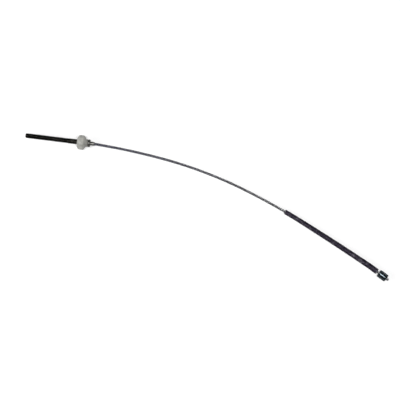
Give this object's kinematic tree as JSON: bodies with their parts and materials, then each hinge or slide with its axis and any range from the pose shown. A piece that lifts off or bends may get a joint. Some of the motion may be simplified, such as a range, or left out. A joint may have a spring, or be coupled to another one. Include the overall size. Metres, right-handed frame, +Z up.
{
  "type": "parking brake cable",
  "caption": "Short bare wire rope crimped into a threaded steel stud with a plastic guide bushing, a coil guard over its far stretch and a crimped cylindrical end stop, lying in a shallow arch.",
  "frame": {"origin": "centre of the bounding box in X and Y, on the surface that the cable lies on", "axes": "+X along the chord from the threaded stud to the end stop, +Y towards the bulge of the arch, +Z up"},
  "size_m": [0.5073, 0.0472, 0.0186],
  "materials": {
    "black_steel": "black oxide on turned steel, lightly oiled",
    "natural_nylon": "moulded natural nylon, matte, a little grey",
    "rope_steel": "bare galvanized wire, drawn, dull bright",
    "dark_spring_wire": "black coated spring wire, satin",
    "zinc_plate": "dark bright zinc plate on crimped steel"
  },
  "bodies": {
    "root": {"threaded_stud": "black_steel", "guide_bushing": "natural_nylon", "wire_rope": "rope_steel", "coil_guard": "dark_spring_wire", "end_stop": "zinc_plate"}
  },
  "joints": []
}
